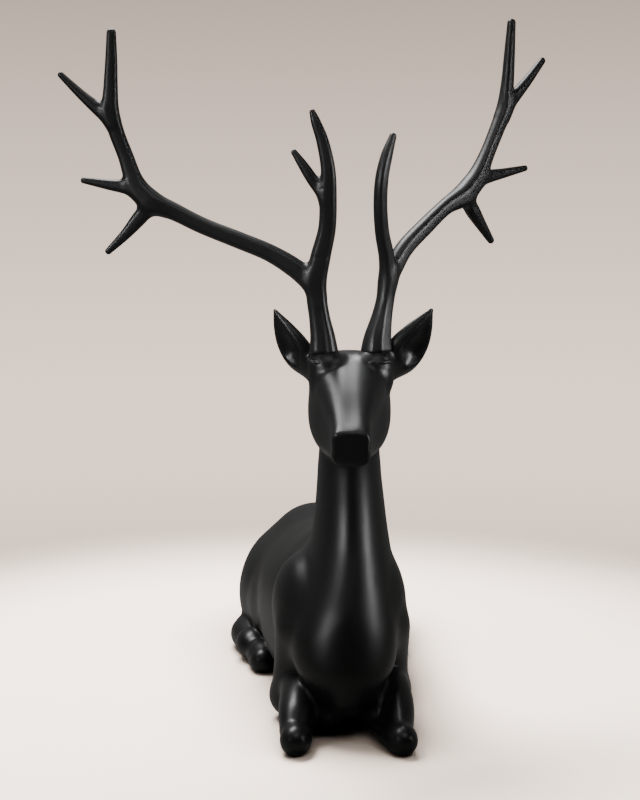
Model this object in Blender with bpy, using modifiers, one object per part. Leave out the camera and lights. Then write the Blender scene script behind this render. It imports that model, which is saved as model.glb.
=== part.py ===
"""Near life-size cast iron stag, lying down with its head up.

Three castings: the animal itself (body, neck, head, ears and folded legs in one), and two antlers
whose flared butts stand in oval sockets on the head. The stag faces -Y, its right side is -X, and
it lies on its flat underside at z = 0.

The figure is set out in units of one hundred-and-fortieth of its height, which is a centimetre at
the real size. Wall-like fits, such as the sockets, are real lengths of their own.
"""

import bmesh
import bpy
from math import cos, pi, radians, sin
from mathutils import Matrix, Vector

# Driving sizes, in metres
FIGURE_HEIGHT = 1.40
SOCKET_DEPTH = 0.009
SOCKET_PLAY = 0.0008
SEAT_GAP = 0.0004
COLLAR_WALL = 0.0060
CLAY_STEP = 0.0055
ANTLER_STEP = 0.0034

UNIT = FIGURE_HEIGHT / 140.0
GROUND_CENTRE = Vector((-5.5, 29.5, 0.0))
HEAD_YAW = radians(-8.0)
HEAD_CENTRE = Vector((-0.6, 0.0, 0.0))
NOSE_REACH = 23.2
NOSE_LEAN = radians(-6.0)

BODY_TRIANGLES = 6200
ANTLER_TRIANGLES = 1450
RING_SIDES = 24
SHARP_ANGLE = radians(50.0)

BLACK_IRON = (0.018, 0.018, 0.019, 1.0)


# Small tools

def clear_scene():
    """Empty the scene of objects."""
    for old in list(bpy.data.objects):
        bpy.data.objects.remove(old, do_unlink=True)


def new_collection(name):
    """A collection linked to the scene."""
    made = bpy.data.collections.new(name)
    bpy.context.scene.collection.children.link(made)
    return made


def iron_material(name):
    """Satin black painted iron."""
    made = bpy.data.materials.new(name)
    made.use_nodes = True
    shader = made.node_tree.nodes["Principled BSDF"]
    shader.inputs["Base Color"].default_value = BLACK_IRON
    shader.inputs["Roughness"].default_value = 0.36
    shader.inputs["Metallic"].default_value = 0.0
    return made


def place(point):
    """A point of the figure, from its own units to metres on the ground centre."""
    return (Vector(point) - GROUND_CENTRE) * UNIT


def spline_through(rows, steps=5):
    """Rows of numbers, filled in smoothly between the given ones."""
    padded = [[2 * a - b for a, b in zip(rows[0], rows[1])], *rows,
              [2 * a - b for a, b in zip(rows[-1], rows[-2])]]
    filled = []
    for before, start, end, after in zip(padded, padded[1:], padded[2:], padded[3:]):
        for step in range(steps):
            t = step / steps
            filled.append([0.5 * (2 * p1 + (p2 - p0) * t + (2 * p0 - 5 * p1 + 4 * p2 - p3) * t * t
                                  + (3 * p1 - p0 - 3 * p2 + p3) * t ** 3)
                           for p0, p1, p2, p3 in zip(before, start, end, after)])
    filled.append(list(rows[-1]))
    return filled


def superellipse(angle, power):
    """A point on the unit superellipse: power 2 is round, more is squarer."""
    c, s = cos(angle), sin(angle)
    size = (abs(c) ** power + abs(s) ** power) ** (-1.0 / power)
    return c * size, s * size


# Masses, each added to one bmesh as a closed shell

def add_loft(clay, rows, to_figure):
    """Skin over superellipse sections: rows of (along, side, up, half_side, half_up, power)."""
    rings = []
    for along, side, up, half_side, half_up, power in spline_through(rows):
        ring = []
        for k in range(RING_SIDES):
            u, v = superellipse(2 * pi * k / RING_SIDES, power)
            at = to_figure(along, side + u * half_side, up + v * half_up)
            ring.append(clay.verts.new(place(at)))
        rings.append(ring)
    faces = [clay.faces.new(rings[0]), clay.faces.new(rings[-1])]
    for low, high in zip(rings, rings[1:]):
        for k in range(RING_SIDES):
            n = (k + 1) % RING_SIDES
            faces.append(clay.faces.new((low[k], low[n], high[n], high[k])))
    bmesh.ops.recalc_face_normals(clay, faces=faces)


def add_ellipsoid(clay, centre, radii, turn=(0.0, 0.0, 0.0)):
    """A ball stretched to three half axes and turned about X, Y, Z in degrees."""
    turned = Matrix.Identity(3)
    for axis, degrees in zip("XYZ", turn):
        turned = Matrix.Rotation(radians(degrees), 3, axis) @ turned
    stretch = Matrix.Diagonal(Vector(radii) * UNIT)
    matrix = (turned @ stretch).to_4x4()
    matrix.translation = place(centre)
    bmesh.ops.create_uvsphere(clay, u_segments=32, v_segments=18, radius=1.0, matrix=matrix)


def tube_mesh(points, sides=3):
    """Mesh of a round bar through (x, y, z, radius) points, ends capped and welded."""
    curve = bpy.data.curves.new("bar", "CURVE")
    curve.dimensions = "3D"
    curve.bevel_depth = 1.0
    curve.bevel_resolution = sides
    curve.resolution_u = 6
    curve.use_fill_caps = True
    spline = curve.splines.new("BEZIER")
    spline.radius_interpolation = "CARDINAL"
    spline.bezier_points.add(len(points) - 1)
    for knot, (x, y, z, radius) in zip(spline.bezier_points, points):
        knot.co = place((x, y, z))
        knot.radius = radius * UNIT
        knot.handle_left_type = knot.handle_right_type = "AUTO"
    guide = bpy.data.objects.new("bar", curve)
    bpy.context.scene.collection.objects.link(guide)
    bpy.context.view_layer.update()
    mesh = bpy.data.meshes.new_from_object(guide.evaluated_get(bpy.context.evaluated_depsgraph_get()))
    bpy.data.objects.remove(guide, do_unlink=True)
    return mesh


def add_tube(clay, points, sides=3, flatten=None):
    """A round bar; flatten=(axis, factor) presses it along an axis through its first point."""
    piece = bmesh.new()
    piece.from_mesh(tube_mesh(points, sides))
    bmesh.ops.remove_doubles(piece, verts=piece.verts, dist=1e-5)
    if flatten:
        axis, factor = flatten
        root = place(points[0][:3])
        squeeze = Matrix.Scale(factor, 4, axis.normalized())
        press = Matrix.Translation(root) @ squeeze @ Matrix.Translation(-root)
        bmesh.ops.transform(piece, matrix=press, verts=piece.verts)
    bmesh.ops.recalc_face_normals(piece, faces=piece.faces)
    joined = bpy.data.meshes.new("bar")
    piece.to_mesh(joined)
    piece.free()
    clay.from_mesh(joined)
    bpy.data.meshes.remove(joined)


# Turning clay into castings

def object_from(clay, name, collection):
    """An object made of a bmesh, which is freed."""
    mesh = bpy.data.meshes.new(name)
    clay.to_mesh(mesh)
    clay.free()
    made = bpy.data.objects.new(name, mesh)
    collection.objects.link(made)
    return made


def settle(piece):
    """Turn a piece's modifiers into its mesh."""
    bpy.context.view_layer.update()
    mesh = bpy.data.meshes.new_from_object(piece.evaluated_get(bpy.context.evaluated_depsgraph_get()))
    piece.modifiers.clear()
    piece.data = mesh


def fuse(piece, step, rounds):
    """Melt overlapping shells into one skin and soften the creases between them."""
    remesh = piece.modifiers.new("Fuse", "REMESH")
    remesh.mode = "VOXEL"
    remesh.voxel_size = step
    soften = piece.modifiers.new("Soften", "SMOOTH")
    soften.factor = 0.5
    soften.iterations = rounds
    settle(piece)


def thin_out(piece, triangles):
    """Bring a dense skin down to about a number of triangles."""
    piece.data.calc_loop_triangles()
    fewer = piece.modifiers.new("Fewer", "DECIMATE")
    fewer.ratio = triangles / len(piece.data.loop_triangles)
    fewer.use_collapse_triangulate = True
    settle(piece)


def cut(piece, tool):
    """Take a closed tool away from a piece."""
    tool.hide_render = True
    tool.display_type = "WIRE"
    boolean = piece.modifiers.new("Cut", "BOOLEAN")
    boolean.operation = "DIFFERENCE"
    boolean.solver = "EXACT"
    boolean.object = tool
    settle(piece)


def box_cutter(name, centre, half, yaw, pitch):
    """A block cutter: centre and half sizes in figure units, pitched about its own side axis."""
    clay = bmesh.new()
    matrix = (Matrix.Rotation(yaw, 4, "Z") @ Matrix.Rotation(pitch, 4, "X")
              @ Matrix.Diagonal(Vector((*half, 0.5)) * 2 * UNIT))
    matrix[3][3] = 1.0
    matrix.translation = place(centre)
    bmesh.ops.create_cube(clay, size=1.0, matrix=matrix)
    return object_from(clay, name, cutters)


# The animal

HEAD_TURN = Matrix.Rotation(HEAD_YAW, 3, "Z") @ Matrix(((0, 1, 0), (-1, 0, 0), (0, 0, 1)))


def in_head(forward, side, up):
    """A point of the head, from its own axes: forward to the nose, side to the stag's left, up."""
    return HEAD_CENTRE + HEAD_TURN @ Vector((forward, side, up))


def back_row(y, x, bottom, top, half_width, power):
    """One section of the trunk, given by its lowest and highest line."""
    return y, x, (top + bottom) / 2, half_width, (top - bottom) / 2, power


def add_trunk(clay):
    """The barrel of the body from the withers to the rump, and the tail."""
    add_loft(clay, [
        back_row(-6, -2.0, 6, 32.0, 7.0, 2.0),
        back_row(2, -1.5, 1, 36.5, 10.5, 2.1),
        back_row(14, -0.8, -1, 36.0, 13.4, 2.2),
        back_row(28, 0.0, -2, 33.5, 15.6, 2.2),
        back_row(42, 0.8, -2, 31.8, 15.0, 2.2),
        back_row(56, 1.4, -2, 31.8, 13.5, 2.2),
        back_row(68, 1.6, 0, 29.0, 11.0, 2.1),
        back_row(77, 1.6, 5, 22.5, 7.0, 2.0),
        back_row(80.5, 1.6, 10, 17.0, 3.0, 2.0)], lambda y, x, z: (x, y, z))
    add_tube(clay, [(1.6, 74.5, 24.5, 2.4), (1.6, 79.0, 21.5, 2.9), (1.6, 80.8, 17, 2.6),
                    (1.6, 81.4, 12.5, 1.6), (1.6, 81.0, 9.5, 0.7)])


def add_neck(clay):
    """The neck and the egg-shaped brisket, rising from the ground to the jaw, turned as the head is."""
    add_loft(clay, [
        (4.5, -0.6, 9.6, 2.4, 2.7, 2.0),
        (7.0, -0.7, 9.5, 5.4, 5.8, 2.0),
        (10.8, -0.9, 8.6, 8.0, 8.0, 2.0),
        (13.6, -1.0, 7.6, 9.7, 9.2, 2.0),
        (19.4, -1.1, 5.4, 10.7, 10.4, 2.0),
        (25.7, -0.7, 1.5, 10.2, 12.3, 2.0),
        (31.7, 0.0, -2.2, 9.0, 13.3, 2.0),
        (38.1, 0.3, -4.0, 7.7, 12.3, 2.0),
        (43.1, 0.3, -4.0, 7.0, 10.8, 2.0),
        (50.6, 0.1, -3.2, 6.25, 8.8, 2.0),
        (60, 0.1, -2.2, 5.9, 7.6, 2.0),
        (68, 0.1, -1.6, 5.6, 6.5, 2.0)], lambda z, side, forward: in_head(forward, side, z))


def add_withers(clay):
    """The nape running down into the back."""
    add_tube(clay, [(*in_head(-2.0, 0.1, 52), 5.6), (*in_head(-7.5, 0.3, 43), 6.8),
                    (*in_head(-14.0, 0.2, 34), 9.0), (0.6, 23.5, 25.5, 11.0), (0.8, 33, 21.5, 12.0)])


def add_foreleg(clay, side, knee, elbow_x):
    """A foreleg folded under: shoulder to elbow, forearm forward to the knee, cannon back inside."""
    knee_x, knee_y = knee
    elbow = (elbow_x + side * 1.0, 5.0, 5.2)
    add_tube(clay, [(elbow_x - side * 1.2, -1.0, 19.0, 4.6), (elbow_x - side * 0.4, 2.0, 11.0, 4.2),
                    (*elbow, 3.6)])
    add_tube(clay, [(*elbow, 3.4), (elbow_x - side * 0.6, -3.0, 7.5, 3.8),
                    ((elbow_x + knee_x) / 2, -11.0, 6.0, 3.1), (knee_x, knee_y + 3.0, 3.8, 2.5)])
    add_ellipsoid(clay, elbow, (3.8, 4.2, 4.0))
    add_ellipsoid(clay, (elbow_x - side * 3.4, -4.5, 6.0), (3.2, 5.5, 4.2))
    add_ellipsoid(clay, (knee_x, knee_y, 2.9), (2.8, 3.1, 3.0))
    add_tube(clay, [(knee_x - side * 1.0, knee_y + 1.0, 2.7, 2.5), (knee_x - side * 3.0, -9.0, 2.5, 2.2),
                    (knee_x - side * 5.5, -1.0, 2.3, 2.3)])


def add_hindquarter(clay, side, haunch_x, haunch_width, foot_x):
    """A haunch, and the hind foot lying forward along the ground."""
    add_ellipsoid(clay, (haunch_x, 57, 14), (haunch_width, 18.5, 13.6), (-8, -18 * side, -4 * side))
    add_ellipsoid(clay, (haunch_x + side * 2.6, 45, 11), (5.6, 9.0, 8.6), (-20, 0, -6 * side))
    hock_x = foot_x - side * 4.5
    add_tube(clay, [(hock_x, 69, 4.2, 3.2), (foot_x - side * 2.0, 62, 3.8, 3.1),
                    (foot_x + side * 0.8, 55, 3.4, 3.2), (foot_x + side * 1.5, 51, 3.3, 3.3),
                    (foot_x + side * 1.0, 45, 3.0, 2.8), (foot_x, 39, 2.9, 2.85),
                    (foot_x - side * 0.5, 33.4, 2.8, 2.7)])
    add_ellipsoid(clay, (hock_x, 70, 4.6), (3.4, 4.2, 4.2))


def add_shoulders(clay):
    """The two shoulder blades."""
    add_ellipsoid(clay, (-8.0, 4.5, 20.8), (7.3, 11.4, 13.0), (20, -7, 0))
    add_ellipsoid(clay, (4.6, 4.5, 20.8), (6.8, 11.4, 13.0), (20, 7, 0))


def face_row(forward, bottom, top, half_width, power):
    """One section of the head across its length."""
    return forward, 0.0, (top + bottom) / 2, half_width, (top - bottom) / 2, power


def add_skull(clay):
    """Cheeks, and the flat-topped bridge of the nose running out of them."""
    add_loft(clay, [
        face_row(-8.5, 63.0, 69.0, 2.4, 2.2),
        face_row(-6.0, 59.0, 72.8, 5.4, 2.4),
        face_row(-1.0, 55.8, 74.8, 7.8, 2.8),
        face_row(4.5, 55.2, 73.5, 8.05, 2.8),
        face_row(9.5, 55.6, 70.0, 6.9, 2.6),
        face_row(14.0, 56.0, 66.8, 5.3, 2.4),
        face_row(18.5, 56.4, 63.4, 4.0, 2.4),
        face_row(22.5, 56.9, 61.0, 3.0, 2.4)], in_head)
    add_loft(clay, [
        face_row(-3.0, 66.0, 75.0, 6.0, 5.0),
        face_row(3.0, 65.0, 74.3, 6.7, 6.0),
        face_row(8.0, 62.0, 71.8, 5.3, 6.0),
        face_row(13.0, 59.8, 68.9, 4.2, 6.0),
        face_row(18.0, 57.8, 65.9, 3.6, 6.0),
        face_row(27.0, 56.0, 61.2, 3.3, 6.0)], in_head)


EAR_TIP_OUT = {-1: 14.5, 1: 15.9}
EAR_FACING = {-1: Vector((-0.80, -0.60, 0.0)), 1: Vector((0.55, -0.83, 0.0))}
EAR_FULLNESS = {-1: 1.1, 1: 2.2}


def ear_line(side):
    """Root, tip and outer-edge direction of an ear."""
    root = in_head(-1.2, side * 7.2, 71.2)
    tip = in_head(0.0, side * EAR_TIP_OUT[side], 83.1)
    return root, tip, Vector((side, 0.0, -0.62)).normalized()


def ear_points(side, stations):
    """Stations (share of the length, bulge, radius, lift) as points along the ear."""
    root, tip, bulge_way = ear_line(side)
    points = []
    for share, bulge, radius, lift in stations:
        at = root + (tip - root) * share + bulge_way * bulge * EAR_FULLNESS[side] + EAR_FACING[side] * lift
        points.append((*at, radius))
    return points


def add_ear(clay, side):
    """The leaf of an ear, pressed flat towards its facing."""
    stations = [(-0.25, 0.0, 1.5, 0), (0.0, 0.4, 2.2, 0), (0.25, 1.0, 2.95, 0), (0.5, 1.0, 2.8, 0),
                (0.75, 0.6, 1.85, 0), (1.0, 0.0, 0.45, 0)]
    root, tip, _ = ear_line(side)
    along = (tip - root).normalized()
    facing = EAR_FACING[side]
    add_tube(clay, ear_points(side, stations), flatten=(facing - along * facing.dot(along), 0.66))


def ear_hollow(side):
    """The cutter of the long hollow in the front of an ear."""
    clay = bmesh.new()
    stations = [(0.12, 1.3, 0.6, 2.1), (0.27, 1.4, 1.75, 2.1), (0.5, 1.2, 1.75, 2.0), (0.75, 0.7, 1.1, 1.5),
                (0.93, 0.1, 0.3, 0.9)]
    add_tube(clay, ear_points(side, stations), sides=2)
    return object_from(clay, f"ear_hollow_{'left' if side > 0 else 'right'}", cutters)


# The antlers

# Each antler is drawn flat, as rows of (out, ahead, up, radius) from its root, and the sheet it is
# drawn on leans back by its sweep. The stag carries its left antler further back than its right.
ANTLER_ROOT = {"antler_right": Vector((-5.9, -3.0, 0.0)), "antler_left": Vector((4.2, -3.0, 0.0))}
ANTLER_SWEEP = {"antler_right": radians(8.5), "antler_left": radians(35.8)}
BUTT_HEIGHT = 75.4
COLLAR_TOP = 75.4

RIGHT_BRANCHES = [
    [(0.0, 0, 73.8, 3.0), (0.2, 0, 75.5, 2.85), (0.4, 0, 78.3, 2.45), (1.0, 0, 82.1, 2.05),
     (1.6, 0, 85.6, 2.05), (2.3, 0, 89.0, 2.6)],
    [(2.3, 0, 89.0, 2.5), (0.9, 0.8, 94.1, 1.95), (-0.2, 1.6, 99.5, 1.7), (-0.3, 2.4, 105.2, 1.65),
     (-0.2, 3.0, 110.5, 1.4), (0.8, 3.0, 115.7, 1.2), (2.1, 3.0, 119.4, 0.95), (2.8, 3.0, 121.4, 0.6)],
    [(0.4, 2.4, 105.2, 1.5), (2.7, 2.4, 108.7, 1.1), (4.4, 2.4, 111.3, 0.95), (6.2, 2.4, 113.9, 0.6)],
    [(2.3, 0, 88.7, 2.4), (6.0, 0, 91.9, 1.9), (10.7, 0, 94.7, 1.7), (16.5, 0, 97.1, 1.65),
     (23.3, 0, 99.8, 1.6), (28.8, 0, 102.5, 1.7), (33.5, 0, 104.6, 2.2), (36.3, 0, 108.2, 1.8),
     (38.0, 0, 113.1, 1.5), (39.7, 0, 117.7, 1.5), (40.7, 0, 121.9, 1.6), (40.6, 0, 126.4, 1.35),
     (40.4, 0, 131.1, 1.15), (40.3, 0, 136.2, 0.9)],
    [(40.8, 0, 119.6, 1.7), (43.0, 0, 121.8, 1.2), (46.5, 0, 124.9, 0.9), (50.1, 0, 128.4, 0.6)],
    [(34.1, 0, 105.3, 2.0), (37.2, 0, 107.0, 1.4), (41.5, 0, 107.7, 1.0), (46.2, 0, 108.5, 0.6)],
    [(32.8, 0, 104.2, 2.1), (35.3, 0, 101.6, 1.45), (38.2, 0, 98.3, 1.05), (41.7, 0, 94.9, 0.65)],
]
LEFT_BRANCHES = [
    [(0.0, 0, 73.8, 3.1), (0.1, 0, 75.4, 3.0), (0.4, 0, 78.0, 2.6), (1.6, 0, 82.2, 1.95),
     (2.5, 0, 85.9, 1.7), (3.3, 0, 89.2, 1.7)],
    [(3.3, 0, 89.2, 1.7), (2.6, 0.8, 93.6, 1.5), (1.1, 1.6, 98.6, 1.35), (0.4, 2.4, 103.9, 1.3),
     (0.6, 3.0, 108.9, 1.25), (1.9, 3.0, 113.2, 1.1), (3.6, 3.0, 116.9, 0.7)],
    [(3.0, 0, 87.8, 1.6), (4.6, 0, 91.4, 1.75), (8.0, 0, 95.2, 1.7), (13.8, 0, 99.2, 1.65),
     (19.6, 0, 102.8, 1.6), (25.2, 0, 105.2, 2.2), (29.2, 0, 108.8, 1.9), (32.2, 0, 113.3, 1.5),
     (35.0, 0, 118.0, 1.5), (37.3, 0, 122.3, 1.6), (38.2, 0, 127.4, 1.3), (38.7, 0, 133.3, 1.1),
     (39.2, 0, 139.9, 0.85)],
    [(36.9, 0, 120.8, 1.6), (39.9, 0, 124.4, 1.3), (44.6, 0, 128.2, 1.0), (49.4, 0, 132.5, 0.7)],
    [(27.2, 0, 106.9, 1.8), (31.8, 0, 108.5, 1.35), (37.7, 0, 109.3, 1.0), (44.4, 0, 110.2, 0.62)],
    [(25.4, 0, 104.9, 2.1), (27.8, 0, 102.0, 1.45), (30.6, 0, 98.9, 1.1), (33.8, 0, 95.5, 0.7)],
]


ANTLERS = {"antler_right": RIGHT_BRANCHES, "antler_left": LEFT_BRANCHES}


def antler_point(name, out, ahead, up):
    """A point of an antler's flat drawing, in figure coordinates."""
    side = -1.0 if name == "antler_right" else 1.0
    sweep = ANTLER_SWEEP[name]
    return ANTLER_ROOT[name] + Vector((side * cos(sweep) * out, sin(sweep) * out - ahead, up))


def butt_frame(name, branches, height):
    """Where the butt's own axis crosses a height, and the turn that lays Z along that axis."""
    low, high = (antler_point(name, *row[:3]) for row in (branches[0][0], branches[0][2]))
    lean = (high - low).normalized()
    return low + lean * ((height - low.z) / lean.z), lean.to_track_quat("Z", "Y").to_matrix().to_4x4()


def butt_bar(name, use, branches, height, radii, length):
    """A round bar along the butt's axis; a negative length runs down from the height."""
    at, turn = butt_frame(name, branches, height)
    middle = Matrix.Translation(place(at)) @ turn @ Matrix.Translation((0, 0, length * UNIT / 2))
    clay = bmesh.new()
    bmesh.ops.create_cone(clay, cap_ends=True, segments=28, radius1=radii[0] * UNIT, radius2=radii[1] * UNIT,
                          depth=abs(length) * UNIT, matrix=middle)
    return object_from(clay, f"{name}_{use}", cutters)


def make_antler(name, branches):
    """One antler casting, cut off square just above the floor of its socket."""
    clay = bmesh.new()
    for rows in branches:
        add_tube(clay, [(*antler_point(name, out, ahead, up), radius) for out, ahead, up, radius in rows])
    antler = object_from(clay, name, castings)
    fuse(antler, ANTLER_STEP, 5)
    thin_out(antler, ANTLER_TRIANGLES)
    seat = BUTT_HEIGHT - (SOCKET_DEPTH - SEAT_GAP) / UNIT
    cut(antler, butt_bar(name, "foot", branches, seat, (6.0, 6.0), -8.0))
    return antler


def socket_cutter(name, branches):
    """The round socket that an antler's butt stands in, leaning with the butt."""
    radius = branches[0][0][3] + SOCKET_PLAY / UNIT
    return butt_bar(name, "socket", branches, BUTT_HEIGHT - SOCKET_DEPTH / UNIT, (radius, radius), 8.0)


def add_pedicle(clay, name, branches):
    """The stump on the head, round an antler's butt, that its socket is sunk in."""
    low, _ = butt_frame(name, branches, 71.0)
    high, _ = butt_frame(name, branches, COLLAR_TOP)
    radius = branches[0][0][3] + (SOCKET_PLAY + COLLAR_WALL) / UNIT
    add_tube(clay, [(*low, radius + 0.1), (*high, radius)])


def nose_block(name, reach):
    """The block that cuts the nose off flat, leaning back a little at its top."""
    half = Vector((8.0, 5.0, 12.0))
    return box_cutter(name, in_head(reach + half.y, 0, 59.0), half, HEAD_YAW, NOSE_LEAN)


def make_body():
    """The animal in one casting: clay masses melted together, then cut flat where it is flat."""
    clay = bmesh.new()
    add_trunk(clay)
    add_neck(clay)
    add_withers(clay)
    add_shoulders(clay)
    add_foreleg(clay, -1, (-13.9, -18.5), -11.6)
    add_foreleg(clay, 1, (6.6, -21.3), 8.0)
    add_hindquarter(clay, -1, -7.6, 8.7, -15.0)
    add_hindquarter(clay, 1, 10.0, 9.6, 15.2)
    add_skull(clay)
    body = object_from(clay, "body", castings)
    fuse(body, CLAY_STEP, 9)
    detail = bmesh.new()
    detail.from_mesh(body.data)
    for side in (-1, 1):
        add_ear(detail, side)
    for name, branches in ANTLERS.items():
        add_pedicle(detail, name, branches)
    detail.to_mesh(body.data)
    detail.free()
    fuse(body, CLAY_STEP, 4)
    cut(body, nose_block("nose_rough", NOSE_REACH + 0.1))
    thin_out(body, BODY_TRIANGLES)
    cut(body, nose_block("nose_plane", NOSE_REACH))
    cut(body, box_cutter("ground", (0, 29, -10), (60, 80, 10), 0.0, 0.0))
    for side in (-1, 1):
        cut(body, ear_hollow(side))
    for name, branches in ANTLERS.items():
        cut(body, socket_cutter(name, branches))
    return body


clear_scene()
castings = new_collection("stag statue")
cutters = new_collection("cutters")
made = [make_body()] + [make_antler(name, branches) for name, branches in ANTLERS.items()]
for casting in made:
    casting.data.materials.append(iron_material(f"{casting.name} iron"))
    casting.data.shade_smooth()
    casting.data.set_sharp_from_angle(angle=SHARP_ANGLE)
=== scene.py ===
"""A near life-size stag of satin black cast iron, lying down with its head raised, in a pale studio."""
import logging
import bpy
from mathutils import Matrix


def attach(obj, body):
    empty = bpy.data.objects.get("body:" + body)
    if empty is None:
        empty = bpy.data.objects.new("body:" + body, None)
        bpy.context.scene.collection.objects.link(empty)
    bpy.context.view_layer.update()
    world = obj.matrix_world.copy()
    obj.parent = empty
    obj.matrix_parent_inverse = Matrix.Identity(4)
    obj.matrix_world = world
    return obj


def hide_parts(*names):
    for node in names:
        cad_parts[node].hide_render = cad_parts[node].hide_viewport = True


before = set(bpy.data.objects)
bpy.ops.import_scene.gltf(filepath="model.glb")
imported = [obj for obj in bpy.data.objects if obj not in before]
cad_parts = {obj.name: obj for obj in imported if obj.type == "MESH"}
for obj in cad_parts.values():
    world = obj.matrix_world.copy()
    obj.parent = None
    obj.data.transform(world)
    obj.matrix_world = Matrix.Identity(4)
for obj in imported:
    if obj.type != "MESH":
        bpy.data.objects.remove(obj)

from concurrent.futures import ThreadPoolExecutor
from dataclasses import dataclass, field
from enum import Enum
from math import cos, pi, radians, sin
from typing import Sequence

import bpy
import numpy as np
from bpy.types import GeometryNodeTree, ID, Material, Mesh, Modifier, Node, NodeTree, Object, ShaderNodeTree
from mathutils import Vector

LOG = logging.getLogger("stag")
# One figure unit, a centimetre, in metres.
UNIT = 0.01
# Points that one thread measures at a time, and the number of threads.
CHUNK = 24000
THREADS = 4
# Keeps roots and quotients off zero.
TINY = 1e-9
# How the normals are probed, in quads, and how often neighbours are averaged.
NORMAL_PROBE = 0.6
NORMAL_ROUNDS = 3
GROUND_CENTRE = np.array((-5.5, 29.5, 0.0))
HEAD_CENTRE = np.array((-0.6, 0.0, 0.0))
HEAD_YAW = radians(-8.0)
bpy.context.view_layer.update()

Array = np.ndarray
Row = tuple[float, ...]
Rows = Sequence[Row]
Point = tuple[float, float, float]
Pair = tuple[Array, Array]
Stump = tuple[Array, Array, float]


class Side(Enum):
    """The stag's own sides. Its right is at -X."""

    RIGHT = -1
    LEFT = 1


class Work(Enum):
    """What a mass does to the clay."""

    ADD = "add"
    CARVE = "carve"


def in_head(forward: float, side: float, up: float) -> Array:
    """A point given in the turned head's own directions, in figure units of a centimetre."""
    ahead = np.array((sin(HEAD_YAW), -cos(HEAD_YAW), 0.0))
    across = np.array((cos(HEAD_YAW), sin(HEAD_YAW), 0.0))
    return HEAD_CENTRE + ahead * forward + across * side + np.array((0.0, 0.0, up))


def head_axes() -> Array:
    """Columns: up, the head's left and the head's forward."""
    return np.stack([in_head(0, 0, 1) - HEAD_CENTRE, in_head(0, 1, 0) - HEAD_CENTRE,
                     in_head(1, 0, 0) - HEAD_CENTRE], 1)


def unit(vector: Sequence[float]) -> Array:
    """The vector made one unit long."""
    array = np.asarray(vector, float)
    return array / np.linalg.norm(array)


def smooth_least(a: Array, b: Array, blend: float) -> Array:
    """The smaller of two distances, with a fillet of the given size where they meet.

    Args:
        a: distances to the first skin.
        b: distances to the second skin.
        blend: the size of the fillet.

    Returns:
        The distances to the joined skin.
    """
    if blend <= 0:
        return np.minimum(a, b)
    near = np.maximum(blend - np.abs(a - b), 0) / blend
    return np.minimum(a, b) - near * near * blend * 0.25


class Curve:
    """A smooth curve through rows of numbers, with its slope."""

    SEARCH_PIECES = 3
    REFINEMENTS = 2
    LONGEST_SHIFT = 0.3

    def __init__(self, rows: Rows, keys: Sequence[float] | None = None) -> None:
        """Fit cubic pieces between the rows.

        Args:
            rows: the values at each key.
            keys: rising positions of the rows, or None for 0, 1, 2 and so on.
        """
        self.rows = np.asarray(rows, float)
        self.keys = np.arange(len(self.rows), dtype=float) if keys is None else np.asarray(keys, float)
        step = np.diff(self.keys)[:, None]
        rise = np.diff(self.rows, axis=0) / step
        tilt = np.empty_like(self.rows)
        tilt[0] = rise[0]
        tilt[-1] = rise[-1]
        tilt[1:-1] = (rise[:-1] * step[1:] + rise[1:] * step[:-1]) / (step[1:] + step[:-1])
        self.tilt = tilt.astype(np.float32)
        self.rows = self.rows.astype(np.float32)
        self.keys = self.keys.astype(np.float32)

    def locate(self, key: Array) -> tuple[Array, Array, Array]:
        """The number of the span that each key lies in, the span's length and the key's share of it."""
        i = np.clip(np.searchsorted(self.keys, key, side="right") - 1, 0, len(self.keys) - 2)
        step = (self.keys[i + 1] - self.keys[i])[:, None]
        return i, step, (key - self.keys[i])[:, None] / step

    def at(self, key: Array) -> Array:
        """The values at each key, held at the ends."""
        i, step, t = self.locate(np.clip(key, self.keys[0], self.keys[-1]))
        return (self.rows[i] * (1 + 2 * t) * (1 - t) ** 2 + self.tilt[i] * step * t * (1 - t) ** 2
                + self.rows[i + 1] * t * t * (3 - 2 * t) + self.tilt[i + 1] * step * t * t * (t - 1))

    def slope(self, key: Array) -> Array:
        """How fast the values change at each key."""
        i, step, t = self.locate(key)
        return (6 * t * (t - 1) * (self.rows[i] - self.rows[i + 1]) / step
                + (1 - t) * (1 - 3 * t) * self.tilt[i] + t * (3 * t - 2) * self.tilt[i + 1])

    def nearest(self, points: Array) -> Array:
        """The key of the curve's nearest place to each point.

        Args:
            points: places in the space of the rows' first three columns.

        Returns:
            One key for each point, found on straight pieces first and then refined on the curve.
        """
        count = self.SEARCH_PIECES * (len(self.keys) - 1) + 1
        keys = np.linspace(self.keys[0], self.keys[-1], count).astype(np.float32)
        places = self.at(keys)[:, :3]
        best = np.full(len(points), np.inf, np.float32)
        found = np.zeros(len(points), np.float32)
        for a, b, key_a, key_b in zip(places[:-1], places[1:], keys[:-1], keys[1:]):
            run = b - a
            off = points - a
            share = np.clip(off @ (run / max(run @ run, 1e-12)), 0, 1)
            off -= share[:, None] * run
            gap = np.einsum("ij,ij->i", off, off)
            closer = gap < best
            best = np.where(closer, gap, best)
            found = np.where(closer, key_a + share * (key_b - key_a), found)
        for _ in range(self.REFINEMENTS):
            here = self.at(found)[:, :3]
            slope = self.slope(found)[:, :3]
            shift = (np.einsum("ij,ij->i", points - here, slope)
                     / np.maximum(np.einsum("ij,ij->i", slope, slope), TINY))
            found += np.clip(shift, -self.LONGEST_SHIFT, self.LONGEST_SHIFT)
            found = np.clip(found, self.keys[0], self.keys[-1])
        return found


class Mass:
    """A lump of clay that knows its extent and how far any point is from its skin."""

    def span(self) -> Pair:
        """The lowest and highest corner of the mass."""
        raise NotImplementedError

    def distance(self, points: Array) -> Array:
        """Distances to the skin, negative inside."""
        raise NotImplementedError


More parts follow.
